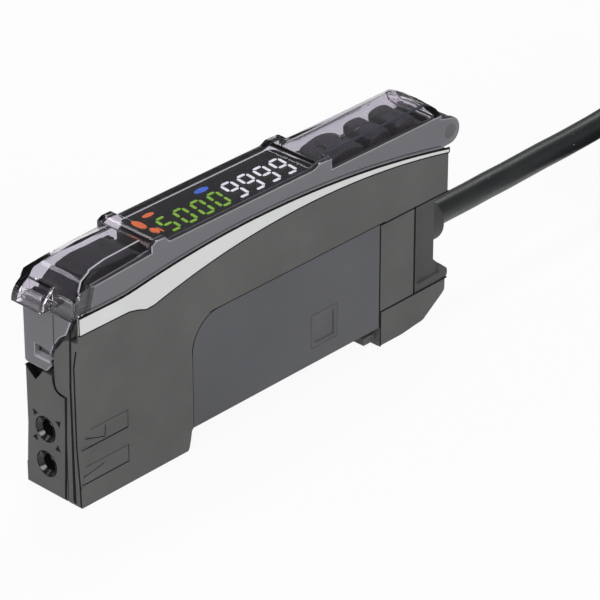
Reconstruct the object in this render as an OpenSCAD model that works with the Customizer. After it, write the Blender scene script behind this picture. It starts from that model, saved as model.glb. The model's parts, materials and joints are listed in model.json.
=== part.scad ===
// Slim sensor amplifier that clips on a rail: two fibre ports at the front, a digital display
// and buttons under a hinged clear cover, and a lead at the rear.
// X runs from the front to the rear, Y across the width, Z up. Millimetres.
// The modules are written from the front face of the case, and seated() puts the origin
// under the middle of the whole unit.

/* [Case] */
// Length of the case, from its front face to its rear face
case_l = 69; // [66:0.5:80]
// Width of the case across its two side faces
case_w = 10; // [9.8:0.1:14]
// Thickness of the case walls
wall = 1.2; // [0.9:0.05:1.4]
// Length of the front foot
foot_l = 20; // [18:0.25:22]
// Height of the unit over its display
unit_h = 32.1; // [29:0.1:36]
// Drop from that height to the rim at the front
rim_front_drop = 4.8; // [4.4:0.1:5.2]
// Drop from that height to the crest of the rim
rim_crest_drop = 2.9; // [2.6:0.1:3.1]
// Drop from that height to the rim at the rear
rim_rear_drop = 6.9; // [6.6:0.1:7.6]
// Height of the underside of the rear overhang
overhang_z = 18.9; // [17.5:0.1:20]
// Share of the rear end that the column takes, with the bush behind it
column_share = 0.504; // [0.48:0.01:0.56]
// Seam between fixed pieces
seam = 0.1; // [0.05:0.01:0.15]

/* [Rail clip] */
// Width of the slot for the mounting rail
rail_slot_w = 35.5; // [35:0.1:36]
// Depth of the rail slot
rail_slot_h = 3.15; // [2.8:0.05:3.6]
// Height of the sliding hook
hook_h = 5.35; // [5:0.05:6]
// Reach of the two lips into the slot
lip_reach = 1.9; // [1.2:0.1:2.4]
// Thickness of the two lips
lip_t = 1.2; // [1:0.05:1.4]
// Pull of the hook, away from the rail
hook_pull = 1.8; // [1:0.1:2]
// Running gap round the hook
slide_gap = 0.15; // [0.1:0.01:0.25]

/* [Fibre ports] */
// Radius of a fibre port
port_r = 1.2; // [1:0.05:1.4]
// Radius of the port's countersunk mouth
mouth_r = 1.85; // [1.6:0.05:2.1]
// Height of the lower port
port_z = 4.1; // [3.6:0.1:4.4]
// Distance between the two ports
port_pitch = 5.1; // [4.8:0.1:5.4]
// Depth of the port block
block_l = 8; // [7:0.25:8.5]
// Length of the fibre holder behind the block
holder_l = 6; // [5:0.25:6.5]

/* [Cover] */
// Thickness of the cover's side walls
cover_wall = 0.9; // [0.7:0.05:1]
// Thickness of the cover's roof
cover_roof = 0.6; // [0.5:0.05:0.8]
// Reach of the cover's nose in front of the case
nose_reach = 2; // [1.5:0.1:2.5]
// Radius of the cover's hinge ears
ear_r = 2; // [1.7:0.05:2.2]
// Radius of the hinge pins
pin_r = 0.9; // [0.7:0.05:1]
// Radial clearance of the hinge pins
pin_gap = 0.08; // [0.05:0.01:0.1]
// Thickness of the cover's front tongue
tongue_t = 0.8; // [0.6:0.05:0.9]

/* [Top panel] */
// Depth from the top of the unit to the deck that carries the display and the buttons
deck_drop = 3.9; // [3.6:0.05:4.1]
// Thickness of the deck
deck_t = 2; // [1.6:0.1:2.2]
// Length of the display window
window_l = 28; // [26:0.25:28.5]
// Thickness of the display window
window_t = 0.8; // [0.6:0.05:1]
// Clearance round a button
button_gap = 0.25; // [0.2:0.01:0.3]
// Travel of a button
button_travel = 0.35; // [0.2:0.05:0.4]
// Share of the button row that the level rocker takes
rocker_share = 0.49; // [0.4:0.01:0.52]
// Share of the button row that the tune button takes
tune_share = 0.25; // [0.2:0.01:0.28]
// Web between two buttons
button_web = 1.3; // [1:0.05:1.5]

/* [Side faces] */
// Height of the name plate above the base
plate_top = 19; // [18:0.1:20]
// Thickness of the name plate and the stripes
inlay_t = 0.35; // [0.25:0.05:0.45]
// Size of the square signal window
signal_size = 5; // [4:0.1:6]

/* [Boards] */
// Thickness of the circuit boards
board_t = 1; // [0.8:0.05:1.2]

/* [Lead] */
// Diameter of the lead
lead_d = 3.8; // [3.4:0.1:4.2]
// Height of the lead's axis where it leaves the bush
lead_z = 12.4; // [11.5:0.1:13]
// Length of the collar on the bush
collar_l = 4.3; // [3.5:0.1:5]

/* [Hidden] */
$fn = 48;

// Distance that a cut runs past the face it opens
over = 1;
half_w = case_w / 2;
cover_top = unit_h;
rim_front = unit_h - rim_front_drop;
rim_crest = unit_h - rim_crest_drop;
rim_rear = unit_h - rim_rear_drop;
deck_z = unit_h - deck_drop;
// Inner face of the side walls
inner_y = half_w - wall;
// Pieces that drop in between the walls stop here
fit_y = inner_y - seam;
// Hinge axis of the cover
pivot_x = case_l + 0.2;
pivot_z = rim_rear + ear_r + 0.6;
ear_tip = pivot_x + ear_r;
mid_x = (ear_tip - nose_reach) / 2;

// Stations along the length
hook_x = foot_l + rail_slot_w;
rear_l = case_l - hook_x;
column_l = column_share * rear_l;
bush_x = hook_x + column_l;
column_z = hook_h + slide_gap;

// Step and crest of the rim
step_start = 6.5;
step_end = 10.5;
crest_x = 32;
rim_bend = (rim_crest - rim_front) / ((crest_x - step_end) * (crest_x - step_start));
step_bend = rim_bend * (crest_x - step_end) / (step_end - step_start);

// Stripe: flat front end, belly, and tail
stripe_x = 0.6;
stripe_floor = rim_front - 2.3;
belly_start = 8.9;
belly_x = 12.4;
belly_drop = 1.05;
tail_end_h = 0.45;

// Front face: the side cover's flange, the cheek and the recess for the cover's tongue
flange_t = tongue_t + 0.25;
face_l = flange_t + seam + 0.2;
flange_y = -half_w + 2.6;
cheek_y = flange_y + 1.8;
cheek_low = rim_front - 11.7;
cheek_high = rim_front - 3.1;
recess_low = rim_front - 9.65;
latch_z = rim_front - 7.8;
latch_h = 1.7;
latch_w = 2.6;
port_y = (half_w + flange_y) / 2;
far_stripe_x = face_l + 2 * seam;

// Cover: inner faces and roof, as rises over the roof above the display
cover_y = half_w - 0.05;
cover_in = cover_y - cover_wall;
cover_gap = 0.2;
roof_end = case_l - 1.6;
window_x = 16.4;
window_end = window_x + window_l;
hood_rise = 0.45;
rib_rise = 0.9;
dome_rise = 0.4;
ridge_y = half_w - 1.7;
hood_ridge = half_w - 2;
hood_ridge_end = half_w - 2.3;
hood_fall = 1.85;
hood_fall_end = 1;
dome_fall = 1.6;

// Heights under the cover
roof_in = cover_top - cover_roof;
window_z = roof_in - 0.15 - window_t;
deck_low = deck_z - deck_t;
bezel_x = window_x - 1;
bezel_end = window_end + 1;
bezel_in = 1.6;
rib_h = 3.4;
rib_y = fit_y - 0.7;
button_y = fit_y - 1;
tact_h = 0.6;
button_low = deck_low + tact_h + button_travel + 0.1;
button_top = roof_in + dome_rise - 0.9;
rocker_x = bezel_end + 2;
row_l = roof_end - 2.8 - rocker_x - 2 * button_web;
rocker_l = rocker_share * row_l;
tune_l = tune_share * row_l;
mode_l = row_l - rocker_l - tune_l;
tune_x = rocker_x + rocker_l + button_web;
mode_x = tune_x + tune_l + button_web;
tact_w = min(2, 0.55 * tune_l);

// Lock lever and fibre clamp
lever_x = 13.4;
lever_z = deck_z + 1.1;
lever_r = 0.9;
lever_y = fit_y - 0.95;
lever_pin_r = 0.55;
clamp_x = block_l + 1.5;
clamp_l = 3;
clamp_w = 4.6;
clamp_gap = 0.15;
guide_rise = 9;

// Boards and what sits on them
display_board_x = window_x - 0.4;
display_board_l = mode_x + mode_l - display_board_x;
board_y = inner_y - 0.5 - board_t;
board_x = block_l + holder_l + 3.2;
board_end = hook_x - wall - 0.3;
board_low = rail_slot_h + wall + 0.5;
board_high = deck_low - rib_h - 0.4;
signal_x = foot_l + 0.62 * rail_slot_w;
signal_z = 5.5;
connector_l = 4;
connector_x = board_end - connector_l - 0.5;

// Hook: guide tongue, spring pocket and arc of the heel
guide_l = 0.265 * column_l;
guide_x = bush_x - guide_l - 0.1;
lip_y = fit_y - 0.9;
guide_y = 1.2;
guide_foot = 0.8;
guide_low = 2.2;
pocket_x = hook_x + slide_gap + 0.184 * column_l;
hook_l = rear_l - slide_gap - seam;
heel_x = hook_x + slide_gap + 0.34 * hook_l;
spring_r = 0.75;
spring_wire_r = 0.17;
spring_turns = 3.5;

// Bush, lead and coil
bush_depth = 0.625 * (case_l - bush_x);
shelf_h = 1.8;
collar_r = lead_d / 2 + 1.3;
stub_r = 2;
exit = [bush_x + seam + bush_depth + collar_l, 0, lead_z];
tie_t = 0.4;
// Hank: two columns of turns in four layers, with folds of three and four diameters
fold_r = 3 * lead_d;
hank_r = fold_r + lead_d;
hank_out = hank_r + lead_d / 2;
hank_in = fold_r - lead_d / 2;
hank_l = 82;
hank_h = 4 * lead_d;
hank_at = exit + [48.5, -hank_r, tie_t - lead_z];
tie_w = 4;
core_r = 0.6;
core_l = 28;
// Route of the lead from the bush to the hank, and of its tail, as steps from their starts
lead_route = [[0, 0, 0], [4, 0, 0], [8, 0, 0], [12, 0, 0.1], [16, 0, 0.1], [20, 0, 0.2], [24, 0, 0.3],
    [28, 0, 0.3], [32, 0, 0.4], [35, 0, 0.5], [38, 0, 0.7], [41, 0, 0.9], [44, 0, 1.1], [46, 0, 1.2],
    [48.5, 0, 1.3]];
tail_route = [[0, 0, 0], [-3, 0, -0.1], [-6, 0, -0.2], [-9, 0, -0.3], [-12, 0, -0.4]];
tail_at = hank_at + [0, -hank_r, lead_d / 2];

case_grey = [0.30, 0.30, 0.29];
dark_grey = [0.16, 0.16, 0.17];
board_green = [0.10, 0.32, 0.20];

// Curves

function steps(a, b, n) = [for (i = [0:n]) a + (b - a) * i / n];
function arc(at, r, a0, a1, n) = [for (a = steps(a0, a1, n)) at + r * [cos(a), sin(a)]];
function catmull(a, b, c, d, t) =
    b + 0.5 * t * (c - a + t * (2 * a - 5 * b + 4 * c - d + t * (3 * (b - c) + d - a)));
function spline(p, n) = concat([for (i = [0:len(p) - 2]) for (k = [0:n - 1])
    catmull(p[max(i - 1, 0)], p[i], p[i + 1], p[min(i + 2, len(p) - 1)], k / n)], [p[len(p) - 1]]);

// Height of the rim: flat at the front, an S step, a slow rise to the crest, a parabola to the rear
function rim(x) =
    x < step_start ? rim_front :
    x < step_end ? rim_front + step_bend * pow(x - step_start, 2) :
    x < crest_x ? rim_crest - rim_bend * pow(crest_x - x, 2) :
    rim_crest - (rim_crest - rim_rear) * pow((x - crest_x) / (case_l - crest_x), 2);

// Lower edge of the stripe: flat, then a short dip to the belly, then a long taper
belly_low = stripe_floor - belly_drop;
belly_h = rim(belly_x) - belly_low;
function tail_h(x) = tail_end_h + (belly_h - tail_end_h) * pow((case_l - x) / (case_l - belly_x), 1.95);
function stripe_low(x) =
    x < belly_start ? stripe_floor :
    x < belly_x ? stripe_floor - belly_drop * pow((x - belly_start) / (belly_x - belly_start), 1.5) :
    rim(x) - tail_h(x);

// Roof of the cover: stations along the length with their rise over the display
roof = [[0, -2.3], [0.8, -1.1], [2, -0.3], [4, 0.25], [7, 0.4], [window_x - 3.2, hood_rise],
    [window_x - 2.4, rib_rise], [window_x - 0.8, rib_rise], [window_x, 0], [window_end - 1.8, 0],
    [window_end - 0.8, dome_rise + 0.1], [window_end + 2, dome_rise], [roof_end - 1.8, dome_rise],
    [roof_end - 1, dome_rise - 0.2], [roof_end - 0.2, dome_rise - 0.9], [roof_end, dome_rise - 1.6]];
function roof_inside(p) =
    [cover_wall + p[0] * (roof_end - 2 * cover_wall) / roof_end, cover_top + p[1] - cover_roof];

// Rings of a round lead along a route
function along(p, i) = p[min(i + 1, len(p) - 1)] - p[max(i - 1, 0)];
function ring(p, i, r, n) =
    let (t = along(p, i) / norm(along(p, i)), s = cross(t, [0, 0, 1]) / norm(cross(t, [0, 0, 1])),
        u = cross(s, t))
    [for (k = [0:n - 1]) p[i] + r * (cos(360 * k / n) * s + sin(360 * k / n) * u)];

// Shared shapes

// Places the unit with the origin under its middle
module seated() translate([-mid_x, 0, 0]) children();

// A flat shape drawn in X and Z, made thick from y0 to y1
module side_slab(y0, y1) translate([0, y1, 0]) rotate([90, 0, 0]) linear_extrude(y1 - y0) children();

// A flat shape drawn in Y and Z, made thick from x0 to x1
module front_slab(x0, x1) translate([x0, 0, 0]) rotate([90, 0, 90]) linear_extrude(x1 - x0) children();

// A box between two corners
module block(a, b) translate(a) cube(b - a);

module round_x(at, r, l) translate(at) rotate([0, 90, 0]) cylinder(h = l, r = r);

module round_y(at, r, l) translate(at) rotate([90, 0, 0]) cylinder(h = l, r = r, center = true);

// A tube swept along a route
module swept(p, r, n) {
    count = len(p);
    polyhedron(
        points = [for (i = [0:count - 1]) each ring(p, i, r, n)],
        faces = concat([[for (k = [0:n - 1]) k]], [[for (k = [n - 1:-1:0]) (count - 1) * n + k]],
            [for (i = [0:count - 2]) for (k = [0:n - 1])
                [i * n + k, (i + 1) * n + k, (i + 1) * n + (k + 1) % n, i * n + (k + 1) % n]]));
}

// Underside of the case, from a given front end to the column
function sole(x0, x1) = [[x0, 0], [foot_l - 1, 0], [foot_l - 0.75, 0.5], [foot_l - 0.5, 1.6],
    [foot_l - 0.4, rail_slot_h - 0.45], [foot_l - 0.25, rail_slot_h - 0.15], [foot_l, rail_slot_h],
    [x1, rail_slot_h]];

module case_outline() polygon(concat(sole(face_l + seam, hook_x),
    [[hook_x, column_z], [bush_x, column_z], [bush_x, overhang_z], [case_l, overhang_z]],
    [for (x = steps(case_l, face_l + seam, 44)) [x, rim(x)]]));

// Hollow of the case, open at the top
module case_hollow() polygon([[-over, wall], [foot_l - wall - 0.5, wall], [foot_l - wall, rail_slot_h + wall],
    [hook_x - wall, rail_slot_h + wall], [hook_x - wall, column_z + wall], [bush_x - wall, column_z + wall],
    [bush_x - wall, overhang_z + wall], [case_l - wall, overhang_z + wall],
    [case_l - wall, rim_crest + over], [-over, rim_crest + over]]);

module stripe_outline(x0, grow) polygon(concat(
    [for (x = steps(x0 - grow, case_l + grow, 48)) [x, stripe_low(min(max(x, 0), case_l)) - grow]],
    [for (x = steps(case_l + grow, x0 - grow, 48)) [x, rim(min(x, case_l)) + (grow > 0 ? over : 0)]]));

module signal_square(grow) translate([signal_x - grow, signal_z - grow]) square(signal_size + 2 * grow);

// Near edge of the front face: seam below, cheek above
function cheek_edge(gap) = spline([[flange_y - gap, cheek_low - gap],
    [flange_y + 0.8 - gap, cheek_low + 0.1 - gap], [cheek_y - 0.35 - gap, cheek_low + 0.5],
    [cheek_y - gap, cheek_low + 1.5]], 4);
function cheek_top(gap) = spline([[cheek_y - gap, cheek_low + 1.5], [cheek_y - gap, cheek_high - 3.7],
    [cheek_y - 0.6 - gap, cheek_high - 2.3], [flange_y + 0.1 - gap, cheek_high - 0.8 - gap],
    [flange_y - 1 - gap, cheek_high - gap]], 5);

// Case

module main_case() color(case_grey) seated() {
    difference() {
        union() {
            side_slab(-inner_y + seam, half_w) case_outline();
            block([hook_x, -half_w, column_z], [bush_x, -inner_y + seam, overhang_z - seam]);
            block([foot_l - wall, -lip_y, 0.3], [foot_l + lip_reach - 0.4, lip_y, 0.3 + lip_t]);
            guide();
        }
        side_slab(-inner_y, inner_y) case_hollow();
        side_slab(half_w - inlay_t, half_w + over) stripe_outline(far_stripe_x, seam / 2);
        side_slab(0, half_w + over) signal_square(seam / 2);
        round_x([bush_x - wall - over, 0, lead_z], stub_r + seam, wall + 2 * over);
        mirror([0, 1, 0]) scoop();
    }
    for (x = [board_x + 4, board_end - 2])
        for (z = [board_low + 4, board_high - 3])
            round_y([x, (board_y + board_t + inner_y) / 2 + 0.02, z], 1.2,
                inner_y - board_y - board_t + 0.04);
}

// T-shaped tongue that guides the rail hook
module guide() {
    block([guide_x, -guide_y, guide_low], [guide_x + guide_l, guide_y, column_z + wall / 2]);
    block([guide_x, -guide_y - guide_foot, guide_low],
        [guide_x + guide_l, guide_y + guide_foot, guide_low + 1]);
}

// A thin engraved frame on the near side
module engraved_frame(x0, x1, z0, z1, line, depth) {
    side_slab(-half_w - over, -half_w + depth) difference() {
        translate([x0, z0]) square([x1 - x0, z1 - z0]);
        translate([x0 - over, z0 + line]) square([x1 - x0 + over - line, z1 - z0 - 2 * line]);
    }
}

// Scooped front corner for the thumb, on the near side
module scoop() hull() {
    block([-over, -half_w - over, 3], [0.2, -half_w + 0.1, 3.1]);
    block([-over, -half_w - over, 9], [0.1, -half_w + 0.5, 20.5]);
    block([-over, -half_w - over, 9], [2.2, -half_w, 20.5]);
    block([-over, -half_w - over, 22.8], [0.2, -half_w, 22.9]);
}

module flange_outline() polygon(concat([[-half_w, 0], [flange_y - seam, 0]], cheek_edge(seam),
    cheek_top(seam), [[-half_w, cheek_high - seam]]));

module side_outline() polygon(concat(sole(0, hook_x - seam),
    [[hook_x - seam, overhang_z], [case_l, overhang_z]],
    [for (x = steps(case_l, 0, 46)) [x, rim(x)]]));

module side_cover() color(case_grey) seated() {
    mark_l = 8.4;
    mark_h = 2.6;
    difference() {
        union() {
            side_slab(-half_w, -inner_y) side_outline();
            front_slab(0, flange_t) flange_outline();
        }
        side_slab(-half_w - over, -half_w + inlay_t) stripe_outline(stripe_x, seam / 2);
        side_slab(-half_w - over, -half_w + inlay_t) plate_outline(seam);
        side_slab(-half_w - over, 0) signal_square(seam / 2);
        block([-over, -half_w - over, cheek_high - seam], [stripe_x - seam / 2, 0, rim_front + over]);
        block([-over, -half_w + 0.4, cheek_high - seam], [flange_t + seam, 0, rim_front + over]);
        for (z = [port_z, port_z + port_pitch])
            engraved_frame(-over, mark_l, z - mark_h / 2 + 0.6, z + mark_h / 2 + 0.6, 0.16, 0.12);
        scoop();
        // Tapered groove down the front edge
        front_slab(-over, 0.5) polygon([[flange_y - 1, 0.5], [flange_y - 1.1, 18], [flange_y - 1.2, 18],
            [flange_y - 1.6, 0.5]]);
    }
}

module front_block() color(case_grey) seated() {
    block_top = deck_low - seam;
    difference() {
        union() {
            front_slab(0, face_l) polygon(concat([[flange_y, 0], [half_w, 0], [half_w, recess_low - 0.35],
                [half_w - 0.4, recess_low - 0.35], [port_y + 1.4, recess_low - 1.85],
                [port_y + 0.2, recess_low], [cheek_y, recess_low]],
                [for (i = [len(cheek_edge(0)) - 1:-1:0]) cheek_edge(0)[i]]));
            block([flange_t + seam, -fit_y, wall + seam], [face_l, half_w, block_top]);
            block([flange_t + seam, fit_y + seam, wall + seam], [face_l, half_w, rim_front]);
            block([face_l - seam, -fit_y, wall + seam], [block_l, fit_y, block_top]);
        }
        mirror([0, 1, 0]) scoop();
        for (z = [port_z, port_z + port_pitch]) {
            round_x([-over, port_y, z], port_r, block_l + 2 * over);
            translate([-0.001, port_y, z]) rotate([0, 90, 0])
                cylinder(h = mouth_r - port_r, r1 = mouth_r, r2 = port_r);
        }
    }
    // Latch nub behind the slot of the tongue
    block([tongue_t + 0.05, port_y - latch_w / 2 + 0.3, latch_z + 0.4],
        [face_l, port_y + latch_w / 2 - 0.3, latch_z + 1]);
}

module stripe_near() color([0.83, 0.84, 0.83]) seated()
    side_slab(-half_w, -half_w + inlay_t - seam / 2) stripe_outline(stripe_x, 0);

module stripe_far() color([0.83, 0.84, 0.83]) seated()
    side_slab(half_w - inlay_t + seam / 2, half_w) stripe_outline(far_stripe_x, 0);

// Name plate with one round corner, level with the slot and the column
module plate_outline(grow) {
    corner = 5;
    polygon(concat([[foot_l - grow, rail_slot_h - (grow > 0 ? over : 0)],
        [hook_x - seam + (grow > 0 ? over : 0), rail_slot_h - (grow > 0 ? over : 0)],
        [hook_x - seam + (grow > 0 ? over : 0), plate_top + grow]],
        arc([foot_l + corner, plate_top - corner], corner + grow, 90, 180, 12)));
}

module name_plate() color([0.33, 0.33, 0.35]) seated() difference() {
    side_slab(-half_w, -half_w + inlay_t - seam / 2) plate_outline(0);
    side_slab(-half_w - over, 0) signal_square(seam / 2);
}

// Signal windows that talk to the neighbouring unit
module signal_window_near() color([0.20, 0.19, 0.20]) seated()
    side_slab(-half_w, -inner_y) signal_square(0);

module signal_window_far() color([0.20, 0.19, 0.20]) seated()
    side_slab(inner_y, half_w) signal_square(0);

// Top panel

module lever_ear(y0, y1) side_slab(y0, y1) difference() {
    polygon([[lever_x - 1, deck_z - 0.5], [lever_x + 1, deck_z - 0.5], [lever_x + 1, lever_z + 0.6],
        [lever_x + 0.5, lever_z + 1], [lever_x - 0.5, lever_z + 1], [lever_x - 1, lever_z + 0.6]]);
    translate([lever_x, lever_z]) circle(lever_pin_r + pin_gap);
}

module top_deck() color(dark_grey) seated() difference() {
    union() {
        block([flange_t + seam, -fit_y, deck_low], [pivot_x, fit_y, deck_z]);
        block([bezel_x, -fit_y, deck_low], [bezel_end, fit_y, window_z]);
        for (side = [-1, 1])
            block([bezel_end, min(side * rib_y, side * fit_y), deck_low - rib_h],
                [roof_end - 2, max(side * rib_y, side * fit_y), deck_low + over]);
        lever_ear(-fit_y, -lever_y - 0.2);
        lever_ear(lever_y + 0.2, fit_y);
        round_y([pivot_x, 0, pivot_z], ear_r - 0.15, 2 * fit_y);
        round_y([pivot_x, 0, pivot_z], pin_r, 2 * cover_y - 0.3);
    }
    block([bezel_x + bezel_in, -button_y - 0.3, deck_low - over],
        [bezel_end - bezel_in, button_y + 0.3, window_z + over]);
    button_well(rocker_x, rocker_l);
    button_well(tune_x, tune_l);
    button_well(mode_x, mode_l);
    round_y([rocker_x + rocker_l / 2, 0, deck_low + 1], 0.5 + pin_gap, 2 * (button_y + 0.5));
    block([clamp_x - clamp_gap, port_y - clamp_w / 2 - clamp_gap, deck_low - over],
        [clamp_x + clamp_l + clamp_gap, port_y + clamp_w / 2 + clamp_gap, deck_z + over]);
}

module button_well(x, l) block([x - button_gap, -button_y - button_gap, deck_low - over],
    [x + l + button_gap, button_y + button_gap, deck_z + over]);

module display_window() color([0.03, 0.03, 0.04]) seated() {
    corner = 1.2;
    y = cover_in - 0.2;
    translate([0, 0, window_z]) linear_extrude(window_t) polygon(concat(
        [[window_x, -y + 0.6], [window_x + 1.4, -y]],
        arc([window_end - corner, -y + corner], corner, -90, 0, 6),
        arc([window_end - corner, y - corner], corner, 0, 90, 6), [[window_x, y]]));
}

module digit_module() color([0.08, 0.08, 0.09]) seated()
    block([bezel_x + bezel_in + 2, -button_y, deck_low], [bezel_end - bezel_in - 0.3, button_y, window_z]);

module indicator_lamps() color([0.85, 0.40, 0.15]) seated()
    for (y = [-1.7, 0.2])
        block([bezel_x + bezel_in + 0.3, y, deck_low], [bezel_x + bezel_in + 1.7, y + 1.5, window_z - 0.3]);

module display_board() color(board_green) seated()
    block([display_board_x, -rib_y + seam, deck_low - board_t],
        [display_board_x + display_board_l, rib_y - seam, deck_low]);

module tact_switches() color([0.75, 0.75, 0.75]) seated()
    for (x = [rocker_x + 0.18 * rocker_l, rocker_x + 0.82 * rocker_l, tune_x + tune_l / 2,
        mode_x + mode_l / 2])
        block([x - tact_w / 2, -1, deck_low], [x + tact_w / 2, 1, deck_low + tact_h]);

// A button with a crowned top
module button(x, l) side_slab(-button_y, button_y) polygon(concat([[x, button_low], [x + l, button_low]],
    arc([x + l - 0.8, button_top - 0.8], 0.8, 0, 70, 4), arc([x + 0.8, button_top - 0.8], 0.8, 110, 180, 4)));

module level_rocker() color(dark_grey) seated() {
    middle = rocker_x + rocker_l / 2;
    difference() {
        button(rocker_x, rocker_l);
        round_y([middle, 0, button_top + 3], 3.4, case_w);
    }
    round_y([middle, 0, deck_low + 1], 0.5, 2 * button_y + 0.6);
    side_slab(-button_y, button_y) polygon([[middle - 0.7, button_low + 0.1], [middle - 0.5, deck_low + 0.8],
        [middle + 0.5, deck_low + 0.8], [middle + 0.7, button_low + 0.1]]);
}

module tune_button() color(dark_grey) seated() button(tune_x, tune_l);

module mode_button() color(dark_grey) seated() button(mode_x, mode_l);

module lock_lever() color(dark_grey) seated() {
    low = lever_z - lever_r;
    top = roof_in - 0.35;
    difference() {
        side_slab(-lever_y, lever_y) polygon(concat([[1.3, low], [lever_x, low]],
            arc([lever_x, lever_z], lever_r, -60, 60, 6),
            [[lever_x, lever_z + lever_r], [lever_x - 1.6, top], [6, top - 0.1], [3.6, top - 0.6],
            [2, top - 1.6], [1.3, top - 2.3]]));
        block([3.4, -lever_y - over, top - 1], [4, lever_y + over, top + over]);
    }
    round_y([lever_x, 0, lever_z], lever_pin_r, 2 * fit_y - 0.2);
}

// Fibre holder and its clamp

module fibre_holder() color([0.12, 0.12, 0.12]) seated() difference() {
    block([block_l, -fit_y, wall + seam], [block_l + holder_l, fit_y, port_z + port_pitch + guide_rise]);
    for (z = [port_z, port_z + port_pitch])
        block([block_l - over, port_y - port_r - 0.1, z - port_r - 0.1],
            [block_l + holder_l + over, port_y + port_r + 0.1, z + port_r + 0.1]);
    block([clamp_x - clamp_gap, port_y - clamp_w / 2 - clamp_gap, port_z],
        [clamp_x + clamp_l + clamp_gap, fit_y + over, deck_low]);
}

module fibre_clamp() color([0.70, 0.70, 0.68]) seated() difference() {
    block([clamp_x, port_y - clamp_w / 2, port_z + port_r + 0.1],
        [clamp_x + clamp_l, min(port_y + clamp_w / 2, fit_y), deck_z - 0.1]);
    block([clamp_x - over, port_y - port_r - 0.2, port_z + port_pitch - port_r - 0.9],
        [clamp_x + clamp_l + over, port_y + port_r + 0.2, port_z + port_pitch + port_r + 0.1]);
}

module diode(z) {
    x = block_l + holder_l;
    leg_z = max(z - 1, board_low);
    round_x([x, port_y, z], 1.9, 2);
    block([x + 2, port_y - 0.6, z - 1], [x + 2.6, board_y + board_t, leg_z + 2]);
    block([x + 2.6, board_y, leg_z], [board_x, board_y + board_t, leg_z + 2]);
}

module emitter_diode() color([0.80, 0.82, 0.85]) seated() diode(port_z + port_pitch);

module receiver_diode() color([0.15, 0.15, 0.18]) seated() diode(port_z);

// Main board and its parts

module main_board() color(board_green) seated()
    block([board_x, board_y, board_low], [board_end, board_y + board_t, board_high]);

module processor_chip() color([0.07, 0.07, 0.07]) seated()
    block([board_x + 9, board_y - board_t, (board_low + board_high) / 2 - 3],
        [board_x + 15, board_y, (board_low + board_high) / 2 + 3]);

module storage_capacitor() color([0.20, 0.22, 0.30]) seated()
    round_x([board_x + 19, board_y - 2, board_high - 3], 2, 6);

module signal_diode_near() color([0.10, 0.10, 0.14]) seated()
    block([signal_x + 1, -1.5, signal_z + 1],
        [signal_x + signal_size - 1, board_y, signal_z + signal_size - 1]);

module signal_diode_far() color([0.10, 0.10, 0.14]) seated()
    block([signal_x + 1, board_y + board_t, signal_z + 1],
        [signal_x + signal_size - 1, inner_y - seam, signal_z + signal_size - 1]);

module lead_connector() color([0.90, 0.88, 0.80]) seated()
    block([connector_x, -1.2, lead_z - 2], [connector_x + connector_l, board_y, lead_z + 2]);

module lead_wires() color([0.35, 0.20, 0.12]) seated()
    for (z = [-1.1, 0, 1.1])
        round_x([connector_x + connector_l, 0, lead_z + z], 0.45,
            bush_x - wall - connector_x - connector_l - 0.1);

// Protective cover, hinged at the rear

// Bevel along the two top edges of the cover, with the ridge moving from one place to another
module roof_bevel(x0, x1, ridge0, ridge1, edge, top, fall0, fall1) for (side = [0, 1]) mirror([0, side, 0])
    polyhedron(
        points = [for (s = [[x0, ridge0, top - fall0], [x1, ridge1, top - fall1]]) each [[s[0], s[1], top],
            [s[0], edge, s[2]], [s[0], edge + over, s[2]], [s[0], edge + over, top + 2],
            [s[0], s[1], top + 2]]],
        faces = concat([[0, 1, 2, 3, 4], [9, 8, 7, 6, 5], [0, 5, 6], [0, 6, 1]],
            [for (k = [1:4]) [k, k + 5, (k + 1) % 5 + 5, (k + 1) % 5]]));

module cover_profile() polygon(concat(
    [for (x = steps(0, case_l - 1.8, 40)) [x, rim(x) + cover_gap]],
    arc([pivot_x, pivot_z], ear_r, -90, 80, 10),
    [[roof_end, pivot_z + ear_r + 0.5]],
    [for (i = [len(roof) - 1:-1:0]) [roof[i][0], cover_top + roof[i][1]]]));

module cover_hollow() difference() {
    side_slab(-cover_in, cover_in) polygon(concat([[cover_wall, 0], [roof_end - cover_wall, 0]],
        [for (i = [len(roof) - 1:-1:0]) roof_inside(roof[i])]));
    roof_bevel(-over, window_x - 3, hood_ridge - 0.4, hood_ridge_end - 0.4, cover_in,
        cover_top + hood_rise - cover_roof, hood_fall - 0.3, hood_fall_end - 0.3);
    roof_bevel(window_end + 1.4, case_l + 2 * ear_r, ridge_y - 0.4, ridge_y - 0.4, cover_in,
        cover_top + dome_rise - cover_roof, dome_fall - 0.3, dome_fall - 0.3);
}

// Front tongue with its latch slot, lying in the recess of the front face
module cover_tongue() {
    far_y = half_w - 0.3;
    low = recess_low + 0.25;
    near = cheek_y + 0.3;
    difference() {
        front_slab(0, tongue_t) polygon([[far_y, rim_front + 0.3], [far_y, low + 0.3], [far_y - 0.3, low],
            [near + 1, low], [near, low + 1.2], [near, cheek_high - 3.4], [near - 0.55, cheek_high - 2],
            [flange_y + 0.4, cheek_high - 0.4], [flange_y - 0.7, cheek_high + 0.3],
            [-half_w + 0.6, rim_front + 0.3]]);
        block([-over, port_y - latch_w / 2, latch_z],
            [tongue_t + over, port_y + latch_w / 2, latch_z + latch_h]);
    }
}

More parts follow.
